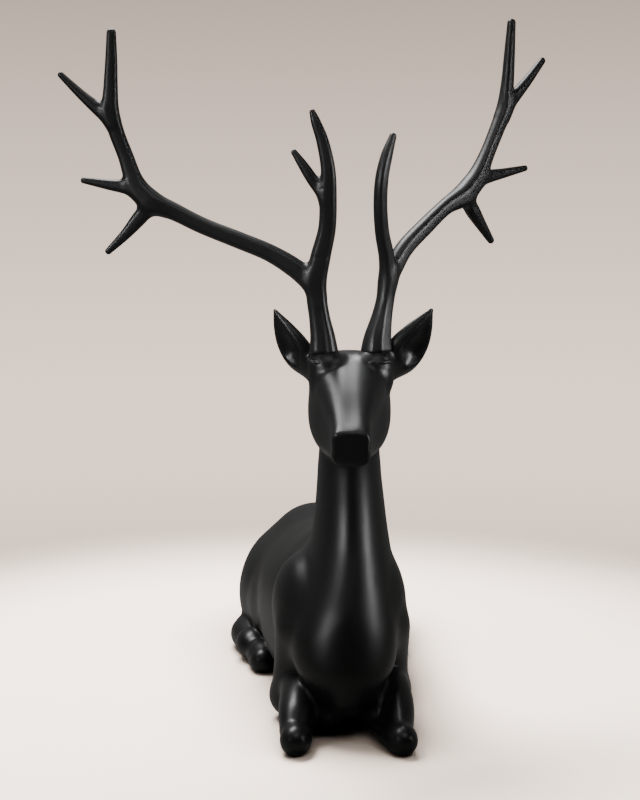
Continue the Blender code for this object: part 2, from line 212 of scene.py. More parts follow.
def box_round(stations: Rows, swell: float) -> Pair:
    """The box round stations of (x, y, z, radius), with the greatest radius swollen by a factor."""
    rows = np.asarray(stations, float)
    reach = rows[:, 3].max() * swell
    return rows[:, :3].min(0) - reach, rows[:, :3].max(0) + reach


def turned(degrees: Point) -> Array:
    """The rotation about X, then Y, then Z, as a matrix."""
    x, y, z = (radians(angle) for angle in degrees)
    about_x = np.array(((1, 0, 0), (0, cos(x), -sin(x)), (0, sin(x), cos(x))))
    about_y = np.array(((cos(y), 0, sin(y)), (0, 1, 0), (-sin(y), 0, cos(y))))
    about_z = np.array(((cos(z), -sin(z), 0), (sin(z), cos(z), 0), (0, 0, 1)))
    return about_z @ about_y @ about_x


@dataclass
class Ball(Mass):
    """An egg with three radii, turned."""

    centre: Point
    radii: Point
    turn: Point = (0.0, 0.0, 0.0)

    def span(self) -> Pair:
        """The corners of the turned egg's box."""
        reach = np.sqrt(((turned(self.turn) * np.array(self.radii)) ** 2).sum(1))
        return np.array(self.centre) - reach, np.array(self.centre) + reach

    def distance(self, points: Array) -> Array:
        """Distances to the egg's skin."""
        radii = np.array(self.radii, np.float32)
        local = (points - np.array(self.centre, np.float32)) @ turned(self.turn).astype(np.float32) / radii
        first = np.sqrt(np.einsum("ij,ij->i", local, local))
        local /= radii
        second = np.sqrt(np.einsum("ij,ij->i", local, local))
        return first * (first - 1) / np.maximum(second, 1e-6)


@dataclass
class Limb(Mass):
    """A round limb through stations of (x, y, z, radius), flattened along an axis where one is given."""

    SWELL = 1.15

    stations: Rows
    flat_along: Array | None = None
    flatness: float = 1.0

    def span(self) -> Pair:
        """The corners of the limb's box."""
        return box_round(self.stations, self.SWELL)

    def distance(self, points: Array) -> Array:
        """Distances to the limb's skin."""
        rows = np.asarray(self.stations, float)
        if self.flat_along is not None:
            stretch = np.eye(3) + (1 / self.flatness - 1) * np.outer(self.flat_along, self.flat_along)
            rows = np.hstack([rows[:, :3] @ stretch.T, rows[:, 3:]])
            points = points @ stretch.T.astype(np.float32)
        curve = Curve(rows)
        here = curve.at(curve.nearest(points))
        off = points - here[:, :3]
        return (np.sqrt(np.einsum("ij,ij->i", off, off)) - here[:, 3]) * min(1.0, self.flatness)


@dataclass
class Tine(Mass):
    """An antler branch through (x, y, z, radius): squarish, and flat on the side that it shows."""

    SWELL = 1.3
    EDGE = 0.22

    stations: Rows
    front: Array
    squareness: float = 2.25
    flat_front: float = 0.90

    def span(self) -> Pair:
        """The corners of the branch's box."""
        return box_round(self.stations, self.SWELL)

    def distance(self, points: Array) -> Array:
        """Distances to the branch's skin."""
        curve = Curve(self.stations)
        key = curve.nearest(points)
        here = curve.at(key)
        along = curve.slope(key)[:, :3]
        along /= np.linalg.norm(along, axis=1)[:, None]
        facing = self.front.astype(np.float32)
        front = facing - along * (along @ facing)[:, None]
        front /= np.linalg.norm(front, axis=1)[:, None]
        off = points - here[:, :3]
        past, ahead = (off * along).sum(1), (off * front).sum(1)
        across = (off * np.cross(along, front)).sum(1)
        n = self.squareness
        radius = here[:, 3]
        rounded = (np.abs(across) ** n + np.abs(ahead) ** n + np.abs(past) ** n + TINY) ** (1 / n) - radius
        return -smooth_least(-rounded, radius * self.flat_front - ahead, self.EDGE)


@dataclass
class Loft(Mass):
    """Sections across an axis: rows of (place, first centre, second centre, half widths, squareness)."""

    SWELL = 1.1

    axes: Array
    origin: Array
    rows: Rows

    def span(self) -> Pair:
        """The corners of the loft's box."""
        sides = (-self.SWELL, self.SWELL)
        corners = [self.origin + self.axes @ np.array((row[0], row[1] + i * row[3], row[2] + j * row[4]))
                   for row in self.rows for i in sides for j in sides]
        return np.min(corners, 0), np.max(corners, 0)

    def distance(self, points: Array) -> Array:
        """Distances to the loft's skin, measured in its sections."""
        local = (points - self.origin.astype(np.float32)) @ self.axes.astype(np.float32)
        curve = Curve(np.asarray(self.rows)[:, 1:], np.asarray(self.rows)[:, 0])
        here = curve.at(local[:, 0])
        first, second = local[:, 1] - here[:, 0], local[:, 2] - here[:, 1]
        half_first, half_second, n = here[:, 2], here[:, 3], here[:, 4]
        ratio = ((np.abs(first) / half_first) ** n + (np.abs(second) / half_second) ** n + TINY) ** (1 / n)
        section = np.hypot(first, second) * (1 - 1 / np.maximum(ratio, 1e-3))
        section = np.maximum(section, -np.minimum(half_first, half_second))
        past = np.abs(local[:, 0] - np.clip(local[:, 0], curve.keys[0], curve.keys[-1]))
        return np.where(past > 0, np.hypot(np.maximum(section, 0), past), section)


@dataclass
class Slab(Mass):
    """Everything on one side of a plane, within a box."""

    through: Array
    towards: Array
    low: Point
    high: Point

    def span(self) -> Pair:
        """The corners of the box that limits the slab."""
        return np.array(self.low), np.array(self.high)

    def distance(self, points: Array) -> Array:
        """Distances to the plane."""
        return -(points - self.through.astype(np.float32)) @ unit(self.towards).astype(np.float32)


@dataclass
class Crest:
    """A ridge drawn over the skin, or a groove where its height is negative."""

    path: Rows
    height: float
    width: float
    crisp: bool = False

    def rise(self, points: Array) -> Array:
        """How far the skin is raised at each point."""
        curve = Curve(self.path)
        gap = np.linalg.norm(points - curve.at(curve.nearest(points))[:, :3], axis=1) / self.width
        return self.height * (np.exp(-gap) if self.crisp else np.exp(-gap * gap))


@dataclass
class Clay:
    """Masses worked into each other one after the other, and then finished with crests."""

    FAR = 2.0
    CREST_WIDTHS = 4

    name: str
    steps: list[tuple[Mass, float, Work]] = field(default_factory=list)
    crests: list[Crest] = field(default_factory=list)

    def add(self, mass: Mass, blend: float = 0.0) -> None:
        """Join a mass on with a fillet."""
        self.steps.append((mass, blend, Work.ADD))

    def carve(self, mass: Mass, blend: float = 0.0) -> None:
        """Take a mass away with a rounded edge."""
        self.steps.append((mass, blend, Work.CARVE))

    def crest(self, path: Rows, height: float, width: float, crisp: bool = False) -> None:
        """Raise or sink a line on the skin."""
        self.crests.append(Crest(path, height, width, crisp))

    def span(self) -> Pair:
        """The corners of all that was added."""
        spans = [mass.span() for mass, _, work in self.steps if work is Work.ADD]
        return np.min([low for low, _ in spans], 0), np.max([high for _, high in spans], 0)

    def distance(self, points: Array, reach: float) -> Array:
        """Distances to the finished skin, worked out in several threads.

        Args:
            points: where to measure.
            reach: how far from the skin the distances have to be true.

        Returns:
            One distance for each point, which only says far where the skin is beyond the reach.
        """
        points = np.asarray(points, np.float32)
        chunks = [points[i:i + CHUNK] for i in range(0, len(points), CHUNK)]
        with ThreadPoolExecutor(THREADS) as pool:
            return np.concatenate(list(pool.map(lambda chunk: self.measure(chunk, reach), chunks)))

    def measure(self, points: Array, reach: float) -> Array:
        """Distances to the finished skin for one chunk of points."""
        gap = np.full(len(points), reach + self.FAR, np.float32)
        lowest, highest = points.min(0), points.max(0)
        for mass, blend, work in self.steps:
            low, high = mass.span()
            margin = blend + reach
            if (lowest > high + margin).any() or (highest < low - margin).any():
                continue
            near = np.nonzero(((points > low - margin) & (points < high + margin)).all(1))[0]
            if not len(near):
                continue
            here = mass.distance(points[near])
            if work is Work.ADD:
                gap[near] = smooth_least(gap[near], here, blend)
            else:
                gap[near] = -smooth_least(-gap[near], here, blend)
        for crest in self.crests:
            path = np.asarray(crest.path, float)[:, :3]
            margin = crest.width * self.CREST_WIDTHS
            inside = ((points > path.min(0) - margin) & (points < path.max(0) + margin)).all(1)
            near = np.nonzero(inside & (np.abs(gap) < reach + self.FAR))[0]
            if len(near):
                gap[near] -= crest.rise(points[near])
        return gap

    def slope(self, points: Array, nudge: float) -> Pair:
        """The distance at each point and the direction in which it grows.

        Args:
            points: where to measure.
            nudge: how far off each point its four probes stand, along each axis.

        Returns:
            Distances and slopes.
        """
        corners = np.array(((1, 1, 1), (1, -1, -1), (-1, 1, -1), (-1, -1, 1)), float)
        probes = [self.distance(points + corner * nudge, 1.0) for corner in corners]
        slopes = sum(probe[:, None] * corner for probe, corner in zip(probes, corners)) / (4 * nudge)
        return sum(probes) / 4, slopes


CELL_CORNERS = tuple((i, j, k) for i in (0, 1) for j in (0, 1) for k in (0, 1))


class Caster:
    """Turns clay into a closed mesh of quads that lies on the clay's skin."""

    # How many quads make a coarse cell; how far its distances have to be true, how near the skin it
    # is filled in, and how far the coarse grid reaches past the clay, all counted in coarse cells.
    COARSE, COARSE_REACH, COARSE_SKIN, MARGIN = 4, 2.5, 1.3, 1.5
    # How far the fine grid's distances and the drop's probes reach, counted in quads.
    FINE_REACH, PROBE = 3, 0.4
    # How often and how strongly the points are evened out, and the least slope that a drop trusts.
    ROUNDS, EVENING, LEAST_SLOPE = 2, 0.6, 0.15

    def __init__(self, clay: Clay, grain: float) -> None:
        """Keep the clay and the size of the quads, in figure units."""
        self.clay = clay
        self.grain = grain

    def sample(self) -> Pair:
        """Fill a grid with distances, true only near the skin.

        Returns:
            The grid's lowest corner and its distances.
        """
        coarse = self.grain * self.COARSE
        low, high = self.clay.span()
        low = low - coarse * self.MARGIN
        count = np.ceil((high - low) / coarse + self.MARGIN).astype(int)
        axes = [low[k] + coarse * np.arange(count[k] + 1) for k in range(3)]
        places = np.stack(np.meshgrid(*axes, indexing="ij"), -1).reshape(-1, 3)
        rough = self.clay.distance(places, coarse * self.COARSE_REACH).reshape(count + 1)
        near = np.abs(rough) < coarse * self.COARSE_SKIN
        cells = np.zeros(count, bool)
        for i, j, k in CELL_CORNERS:
            cells |= near[i:i + count[0], j:j + count[1], k:k + count[2]]
        grid = self.widen(rough[:-1, :-1, :-1]).astype(np.float32)
        at = np.nonzero(self.widen(cells))
        places = low + self.grain * np.stack(at, 1)
        grid[at] = self.clay.distance(places, self.grain * self.FINE_REACH)
        return low, grid

    def widen(self, cells: Array) -> Array:
        """Repeat each coarse cell's value for the fine cells in it."""
        for axis in range(3):
            cells = np.repeat(cells, self.COARSE, axis)
        return cells

    def net(self, low: Array, grid: Array) -> Pair:
        """One point for each grid cell that the skin passes, and one quad for each crossed edge.

        Args:
            low: the grid's lowest corner.
            grid: its distances.

        Returns:
            Points in figure units and quads with outward faces.
        """
        inside = grid < 0
        nx, ny, nz = (n - 1 for n in grid.shape)
        total = np.zeros((nx, ny, nz), np.int8)
        for i, j, k in CELL_CORNERS:
            total += inside[i:i + nx, j:j + ny, k:k + nz]
        cells = np.stack(np.nonzero((total > 0) & (total < len(CELL_CORNERS))), 1)
        number = np.full((nx, ny, nz), -1, np.int32)
        number[tuple(cells.T)] = np.arange(len(cells))
        values = {corner: grid[tuple((cells + corner).T)] for corner in CELL_CORNERS}
        place = np.zeros((len(cells), 3))
        hits = np.zeros(len(cells))
        for a in CELL_CORNERS:
            for axis in range(3):
                if a[axis]:
                    continue
                b = tuple(a[k] + (k == axis) for k in range(3))
                crossed = (values[a] < 0) != (values[b] < 0)
                gap = np.where(crossed, values[a] - values[b], 1.0)
                share = np.where(crossed, values[a] / gap, 0.0)
                spot = np.tile(np.array(a, float), (len(cells), 1))
                spot[:, axis] += share
                place += spot * crossed[:, None]
                hits += crossed
        points = low + self.grain * (cells + place / hits[:, None])
        quads = []
        for axis in range(3):
            one, two = (axis + 1) % 3, (axis + 2) % 3
            edges = np.stack(np.nonzero(np.diff(inside, axis=axis)), 1)
            leaving = inside[tuple(edges.T)]
            ring = []
            for back_one, back_two in ((1, 1), (0, 1), (0, 0), (1, 0)):
                cell = edges.copy()
                cell[:, one] -= back_one
                cell[:, two] -= back_two
                ring.append(number[tuple(cell.T)])
            faces = np.stack(ring, 1)
            faces[~leaving] = faces[~leaving][:, ::-1]
            quads.append(faces)
        return points, np.concatenate(quads)

    def settle(self, points: Array, quads: Array) -> Array:
        """Even the points out along the skin and drop them exactly onto it."""
        for _ in range(self.ROUNDS):
            total = np.zeros_like(points)
            count = np.zeros(len(points))
            for i in range(4):
                for j in (1, 3):
                    np.add.at(total, quads[:, i], points[quads[:, (i + j) % 4]])
                    np.add.at(count, quads[:, i], 1)
            points = self.drop(points * (1 - self.EVENING) + total / count[:, None] * self.EVENING)
        return self.drop(points)

    def drop(self, points: Array) -> Array:
        """Move each point straight to the skin."""
        gap, slope = self.clay.slope(points, self.grain * self.PROBE)
        fall = gap[:, None] * slope / np.maximum((slope ** 2).sum(1), self.LEAST_SLOPE)[:, None]
        return points - np.clip(fall, -self.grain, self.grain)

    def mesh(self) -> Mesh:
        """The cast clay as a mesh in metres, in the part's frame."""
        low, grid = self.sample()
        points, quads = self.net(low, grid)
        points = self.settle(points, quads)
        made = bpy.data.meshes.new(self.clay.name)
        made.vertices.add(len(points))
        made.vertices.foreach_set("co", ((points - GROUND_CENTRE) * UNIT).astype(np.float32).ravel())
        made.loops.add(quads.size)
        made.loops.foreach_set("vertex_index", quads.ravel().astype(np.int32))
        made.polygons.add(len(quads))
        made.polygons.foreach_set("loop_start", np.arange(0, quads.size, 4, dtype=np.int32))
        made.update(calc_edges=True)
        made.validate()
        return made


def triangle_count(mesh: Mesh) -> int:
    """How many triangles a mesh's faces make."""
    return sum(len(face.vertices) - 2 for face in mesh.polygons)


def stand(name: str, data: ID) -> Object:
    """A new object of some data, linked to the scene at the origin."""
    made = bpy.data.objects.new(name, data)
    bpy.context.scene.collection.objects.link(made)
    return made


def bake(piece: Object, modifier: Modifier) -> None:
    """Keep what a modifier makes as the piece's own plain mesh, and take the modifier off."""
    shape = bpy.data.meshes.new_from_object(piece.evaluated_get(bpy.context.evaluated_depsgraph_get()))
    piece.modifiers.remove(modifier)
    piece.data = shape


def thin(piece: Object, triangles: int) -> None:
    """Cut a piece down to a number of triangles where it has more."""
    have = triangle_count(piece.data)
    if have > triangles:
        reduce = piece.modifiers.new("Thin", "DECIMATE")
        reduce.ratio = triangles / have
        reduce.use_collapse_triangulate = True
        bake(piece, reduce)


def skin_normals(clay: Clay, shape: Mesh, grain: float) -> Array:
    """The clay's own slope at a mesh's points, evened out between neighbours.

    Args:
        clay: the masses that the mesh was cast from.
        shape: the mesh, in metres.
        grain: the size of its quads, in figure units.

    Returns:
        One direction for each point, of length one.
    """
    places = np.empty(len(shape.vertices) * 3, np.float32)
    shape.vertices.foreach_get("co", places)
    _, slope = clay.slope(places.reshape(-1, 3) / UNIT + GROUND_CENTRE, grain * NORMAL_PROBE)
    edges = np.empty(len(shape.edges) * 2, np.int32)
    shape.edges.foreach_get("vertices", edges)
    here, there = edges.reshape(-1, 2).T
    for turn in range(NORMAL_ROUNDS + 1):
        slope /= np.maximum(np.linalg.norm(slope, axis=1), 1e-6)[:, None]
        if turn < NORMAL_ROUNDS:
            total = slope.copy()
            for axis in range(3):
                total[:, axis] += np.bincount(here, slope[there, axis], len(slope))
                total[:, axis] += np.bincount(there, slope[here, axis], len(slope))
            slope = total
    return slope


def cast(clay: Clay, grain: float, triangles: int) -> Object:
    """Make the finished, smooth-shaded object of a clay figure.

    Args:
        clay: the masses.
        grain: the size of its quads, in figure units.
        triangles: how many triangles it may have.

    Returns:
        The object, at the origin.
    """
    piece = stand(clay.name, Caster(clay, grain).mesh())
    thin(piece, triangles)
    piece.data.shade_smooth()
    piece.data.normals_split_custom_set_from_vertices(skin_normals(clay, piece.data, grain).tolist())
    return piece


Key = str | int
Value = float | Row | Vector
Link = tuple[Node, Key, Node, Key]


def wire(tree: NodeTree, kind: str, at: tuple[float, float],
         inputs: dict[Key, Value] | None = None, **settings: object) -> Node:
    """Add a node, place it, and set its properties and the values of its inputs."""
    node = tree.nodes.new(kind)
    node.location = at
    for name, value in settings.items():
        setattr(node, name, value)
    for name, value in (inputs or {}).items():
        node.inputs[name].default_value = value
    return node


def connect(tree: NodeTree, *links: Link) -> None:
    """Join nodes by rows of (node, its output, next node, its input)."""
    for start, output, end, entry in links:
        tree.links.new(start.outputs[output], end.inputs[entry])


def cast_skin_group() -> ShaderNodeTree:
    """The skin that sand casting and spray paint leave, as a shader node group.

    Returns:
        A group that turns a position into a height and a roughness.
    """
    tree = bpy.data.node_groups.new("Cast skin", "ShaderNodeTree")
    for name, kind, default in (("Position", "NodeSocketVector", None), ("Fineness", "NodeSocketFloat", 900.0),
                                ("Waviness", "NodeSocketFloat", 0.35), ("Roughness", "NodeSocketFloat", 0.35),
                                ("Patchiness", "NodeSocketFloat", 0.06)):
        socket = tree.interface.new_socket(name, in_out="INPUT", socket_type=kind)
        if default is not None:
            socket.default_value = default
    for name in ("Height", "Roughness"):
        tree.interface.new_socket(name, in_out="OUTPUT", socket_type="NodeSocketFloat")
    given = wire(tree, "NodeGroupInput", (-900, 0))
    fine = wire(tree, "ShaderNodeTexNoise", (-600, 200), {"Detail": 2.0})
    broad = wire(tree, "ShaderNodeTexNoise", (-600, -50), {"Scale": 26.0, "Detail": 1.0})
    patch = wire(tree, "ShaderNodeTexNoise", (-600, -300), {"Scale": 7.0, "Detail": 3.0})
    wave = wire(tree, "ShaderNodeMath", (-350, 0), operation="MULTIPLY_ADD")
    spread = wire(tree, "ShaderNodeMath", (-350, -300), {1: 0.5}, operation="SUBTRACT")
    rough = wire(tree, "ShaderNodeMath", (-150, -300), operation="MULTIPLY_ADD")
    out = wire(tree, "NodeGroupOutput", (100, 0))
    connect(tree, (given, "Fineness", fine, "Scale"),
            *((given, "Position", noise, "Vector") for noise in (fine, broad, patch)),
            (broad, "Fac", wave, 0), (given, "Waviness", wave, 1), (fine, "Fac", wave, 2),
            (patch, "Fac", spread, 0), (spread, 0, rough, 0), (given, "Patchiness", rough, 1),
            (given, "Roughness", rough, 2), (wave, 0, out, "Height"), (rough, 0, out, "Roughness"))
    return tree


@dataclass(frozen=True)
class BlackIron:
    """Satin black spray paint on cast iron."""

    name: str
    colour: tuple[float, float, float, float]
    roughness: float
    fineness: float = 900.0
    waviness: float = 0.35
    patchiness: float = 0.06
    bump: float = 0.003
    depth: float = 0.001
    refraction: float = 1.42

    def material(self, skin: ShaderNodeTree) -> Material:
        """Build the material round the shared skin group.

        Args:
            skin: the cast skin group.

        Returns:
            The finished material.
        """
        made = bpy.data.materials.new(self.name)
        made.use_nodes = True
        tree = made.node_tree
        shader = tree.nodes["Principled BSDF"]
        for name, value in (("Base Color", self.colour), ("Metallic", 0.0), ("IOR", self.refraction)):
            shader.inputs[name].default_value = value
        coordinates = wire(tree, "ShaderNodeTexCoord", (-900, 0))
        group = wire(tree, "ShaderNodeGroup", (-650, 0), {
            "Fineness": self.fineness, "Waviness": self.waviness, "Roughness": self.roughness,
            "Patchiness": self.patchiness}, node_tree=skin)
        bump = wire(tree, "ShaderNodeBump", (-300, -200), {"Strength": self.bump, "Distance": self.depth})
        connect(tree, (coordinates, "Object", group, "Position"), (group, "Height", bump, "Height"),
                (group, "Roughness", shader, "Roughness"), (bump, "Normal", shader, "Normal"))
        return made


@dataclass(frozen=True)
class Half:
    """What differs between the animal's two sides, in figure units; facing is the way the ear looks."""

    side: Side
    shoulder: tuple[float, float]
    knee: tuple[float, float]
    elbow: float
    haunch: tuple[float, float]
    foot: float
    ear_tip: float
    ear_fullness: float
    ear_width: float
    ear_facing: Point


HALVES = (
    Half(Side.RIGHT, shoulder=(-8.0, 7.4), knee=(-13.9, -18.5), elbow=-11.6, haunch=(-7.6, 8.7), foot=-15.0,
         ear_tip=14.5, ear_fullness=0.6, ear_width=1.25, ear_facing=(-0.80, -0.60, 0.0)),
    Half(Side.LEFT, shoulder=(4.6, 6.9), knee=(6.6, -21.3), elbow=8.0, haunch=(10.0, 9.6), foot=15.2,
         ear_tip=15.9, ear_fullness=0.7, ear_width=1.5, ear_facing=(0.55, -0.83, 0.0)),
)


def from_low_to_high(rows: Rows) -> list[Row]:
    """Loft rows from rows of (place, first centre, lowest, highest, half width, squareness)."""
    return [(place, first, (low + high) / 2, half, (high - low) / 2, n)
            for place, first, low, high, half, n in rows]


@dataclass
class Body:
    """The animal itself: one hollow casting from the poll to the tail."""

    iron: Material
    grain: float = 0.26
    triangles: int = 190000
    nose_reach: float = 23.2
    nose_lean: float = radians(-6.0)

    def trunk(self, clay: Clay) -> None:
        """The barrel, from the chest to the tail, and the tail itself."""
        axes = np.stack([(0.0, 1.0, 0.0), (1.0, 0.0, 0.0), (0.0, 0.0, 1.0)], 1)
        rows = ((-6, -2, 6, 32, 7, 2.0), (2, -1.5, 1, 36.5, 10.5, 2.1), (14, -0.8, -1, 36, 13.4, 2.2),
                (28, 0, -2, 33.5, 15.6, 2.2), (42, 0.8, -2, 32.6, 15.3, 2.2), (56, 1.3, -2, 32.7, 13.9, 2.2),
                (68, 1.6, 0, 29, 11, 2.1), (77, 1.6, 5, 22.5, 7, 2.0), (80.5, 1.6, 10, 17, 3, 2.0))
        clay.add(Loft(axes, np.zeros(3), from_low_to_high(rows)))
        clay.add(Limb(((1.6, 74.5, 24.5, 2.4), (1.6, 79, 21.5, 2.9), (1.6, 80.8, 17, 2.6),
                       (1.6, 81.4, 12.5, 1.6), (1.6, 81, 9.5, 0.7))), 1.6)

    def neck(self, clay: Clay) -> None:
        """The neck and brisket with the keel down their front, and the nape running down into the back."""
        clay.add(Loft(head_axes(), HEAD_CENTRE, (
            (4.5, -0.6, 9.6, 2.4, 2.7, 2.0), (7.0, -0.7, 9.5, 5.4, 5.8, 2.0), (10.8, -0.9, 8.6, 8.0, 8.0, 2.0),
            (13.6, -1.0, 7.6, 9.7, 9.2, 2.0), (19.4, -1.1, 5.4, 10.7, 10.4, 2.0),
            (25.7, -0.7, 1.5, 10.2, 12.3, 2.0), (31.7, 0.0, -2.2, 9.0, 13.3, 2.0),
            (38.1, 0.3, -4.0, 7.7, 12.3, 2.0), (43.1, 0.3, -4.0, 7.0, 10.8, 2.0),
            (50.6, 0.1, -3.2, 6.2, 8.8, 2.0), (60, 0.1, -2.2, 5.9, 7.6, 2.0),
            (68, 0.1, -1.6, 5.6, 6.5, 2.0))), 2.2)
        clay.add(Limb(((*in_head(-5.0, 0.2, 51), 4.0), (*in_head(-9.0, 0.4, 43), 5.2),
                       (*in_head(-14.0, 0.8, 34), 7.2), (1.4, 23.5, 26.0, 9.4), (1.2, 33, 22.5, 10.6))), 4.0)
        keel = ((5.6, 0.1, 56), (6.6, 0.2, 44), (10.5, 0.2, 33), (14.0, -0.4, 25))
        clay.crest([in_head(*place) for place in keel], 0.5, 3.4, crisp=True)

    def foreleg(self, clay: Clay, half: Half) -> None:
        """Shoulder, upper arm and forearm, the bent knee and the cannon folded back inside."""
        s = half.side.value
        shoulder_x, shoulder_width = half.shoulder
        knee_x, knee_y = half.knee
        elbow_x = half.elbow
        clay.add(Ball((shoulder_x, 4.5, 20.8), (shoulder_width, 11.6, 13.2), (20, 7 * s, 0)), 2.0)
        elbow = (elbow_x + s * 0.6, 2.6, 4.9)
        clay.add(Limb(((elbow_x - s * 1.2, -1, 19, 4.7), (elbow_x - s * 0.4, 2, 11, 4.3), (*elbow, 3.7))), 2.6)
        clay.add(Limb(((*elbow, 3.5), (elbow_x - s * 0.6, -3, 7.5, 3.9),
                       ((elbow_x + knee_x) / 2, -11, 6, 3.4), (knee_x, knee_y + 3, 3.8, 2.6))), 1.6)
        clay.add(Ball(elbow, (3.7, 4.8, 4.2)), 1.4)
        clay.add(Ball((elbow_x - s * 4.2, -6.5, 6.0), (3.8, 6.6, 4.0), (10, 0, -16 * s)), 2.4)
        clay.add(Ball((knee_x, knee_y, 2.9), (2.85, 3.15, 3.05)), 1.1)
        clay.add(Limb(((knee_x - s, knee_y + 1, 2.7, 2.5), (knee_x - s * 3, -9, 2.5, 2.2),
                       (knee_x - s * 5.5, -1, 2.3, 2.3))), 0.8)

    def hindquarter(self, clay: Clay, half: Half) -> None:
        """The haunch, the hock and the hind foot that lies forward along the ground."""
        s = half.side.value
        haunch_x, haunch_width = half.haunch
        foot_x = half.foot
        hock_x = foot_x - s * 4.5
        clay.add(Ball((haunch_x, 57, 14), (haunch_width, 18.6, 13.7), (-8, -18 * s, -4 * s)), 2.2)
        clay.add(Ball((haunch_x + s * 2.6, 45, 11), (5.7, 9.1, 8.7), (-20, 0, -6 * s)), 2.6)
        clay.add(Limb(((hock_x, 69, 4.2, 3.3), (foot_x - s * 2, 62, 3.8, 3.2), (foot_x + s * 0.8, 55, 3.4, 3.3),
                       (foot_x + s * 1.5, 51, 3.3, 3.4), (foot_x + s, 45, 3, 2.8),
                       (foot_x, 39, 2.9, 2.8))), 1.0)
        clay.add(Ball((hock_x, 70, 4.6), (3.4, 4.3, 4.3)), 1.2)
        clay.add(Ball((foot_x + s * 1.2, 42.5, 3.9), (3.3, 4.2, 3.3)), 0.8)
        clay.add(Limb(((foot_x - s * 0.2, 39.5, 2.7, 2.6), (foot_x - s * 0.5, 35.8, 2.9, 3.3),
                       (foot_x - s * 0.5, 33.0, 2.6, 2.9))), 0.6)

    def head(self, clay: Clay) -> None:
        """Cheeks and skull, the crowned bridge of the nose, its flat cut end and the brows."""
        axes = head_axes()[:, (2, 1, 0)]
        skull = ((-8.5, 63, 69, 2.4, 2.2), (-6, 59, 72.6, 5.4, 2.4), (-1, 55.8, 74.4, 7.7, 2.6),
                 (4.5, 54.6, 72.0, 8.0, 2.15), (9.5, 55.0, 68.2, 7.0, 2.15), (14, 55.8, 64.8, 5.5, 2.2),
                 (18.5, 56.4, 61.8, 4.1, 2.3), (22.5, 56.9, 59.6, 3.1, 2.3))
        snout = ((-5, 66, 74.6, 6.6, 3.0), (-1, 65.5, 75.1, 7.7, 3.0), (3, 64.5, 74.4, 7.5, 3.0),
                 (8, 62, 72.0, 6.6, 2.9), (13, 59.8, 69.1, 5.2, 3.2), (18, 57.8, 65.9, 3.9, 4.2),
                 (27, 56, 61.2, 3.3, 6.0))
        for rows, blend in ((skull, 1.4), (snout, 1.0)):
            centred = [(row[0], 0.0, *row[1:]) for row in rows]
            clay.add(Loft(axes, HEAD_CENTRE, from_low_to_high(centred)), blend)
        lean = self.nose_lean
        towards = in_head(cos(lean), 0, sin(lean)) - HEAD_CENTRE
        clay.carve(Slab(in_head(self.nose_reach, 0, 60), towards, (-16, -36, 50), (10, -17, 70)), 0.45)
        bridge = [in_head(ahead, 0, up) for ahead, up in ((3.5, 74.2), (9, 71.0), (15, 67.6), (21, 64.2))]
        clay.crest(bridge, 0.45, 4.5)
        clay.crest(bridge, -0.14, 1.2)
        for s in (-1, 1):
            clay.add(Ball(tuple(in_head(3.6, s * 4.9, 73.3)), (1.7, 2.0, 1.2)), 1.0)

    def ear_line(self, half: Half) -> tuple[Array, Array, Array]:
        """Root, tip and outer-edge direction of an ear."""
        s = half.side.value
        return in_head(-1.2, s * 7.2, 71.2), in_head(0.0, s * half.ear_tip, 83.1), unit((s, 0, -0.62))

    def along_ear(self, half: Half, stations: Rows) -> list[Row]:
        """Stations (share of the length, bulge, radius, lift) as points along the ear."""
        root, tip, bulge_way = self.ear_line(half)
        facing = np.array(half.ear_facing)
        return [(*(root + (tip - root) * share + bulge_way * bulge * half.ear_fullness
                   + facing * lift * half.ear_width), radius * half.ear_width)
                for share, bulge, radius, lift in stations]

    def ear(self, clay: Clay, half: Half) -> None:
        """One ear: a flattened leaf with a long hollow and a rim."""
        root, tip, _ = self.ear_line(half)
        along = unit(tip - root)
        facing = np.array(half.ear_facing)
        across = unit(facing - along * (facing @ along))
        clay.add(Limb(self.along_ear(half, (
            (-0.25, 0.0, 1.3, 0), (0.0, 0.4, 2.0, 0), (0.25, 1.0, 2.95, 0), (0.5, 1.0, 2.8, 0),
            (0.75, 0.6, 1.85, 0), (1.0, 0.0, 0.4, 0))), across, 0.55), 0.9)
        clay.carve(Limb(self.along_ear(half, (
            (0.08, 1.3, 0.9, 2.5), (0.25, 1.5, 2.3, 2.75), (0.5, 1.3, 2.35, 2.7), (0.75, 0.7, 1.45, 1.85),
            (0.95, 0.1, 0.35, 0.8)))), 0.35)

    def shape(self, sockets: Sequence[Stump]) -> Clay:
        """Work all the masses together.

        Args:
            sockets: foot, top and radius of the stump under each antler.

        Returns:
            The finished clay.
        """
        clay = Clay("body_skin")
        self.trunk(clay)
        self.neck(clay)
        for half in HALVES:
            self.foreleg(clay, half)
            self.hindquarter(clay, half)
        self.head(clay)
        for half in HALVES:
            self.ear(clay, half)
        for foot, top, radius in sockets:
            clay.add(Limb(((*foot, radius), (*top, radius * 0.97))), 1.0)
        clay.carve(Slab(np.zeros(3), np.array((0.0, 0.0, -1.0)), (-40, -40, -12), (40, 90, 3)), 0.3)
        return clay

    def build(self, sockets: Sequence[Stump]) -> Object:
        """Cast the body, paint it and put it in place of its solid."""
        piece = cast(self.shape(sockets), self.grain, self.triangles)
        piece.data.materials.append(self.iron)
        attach(piece, "root")
        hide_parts("body")
        return piece


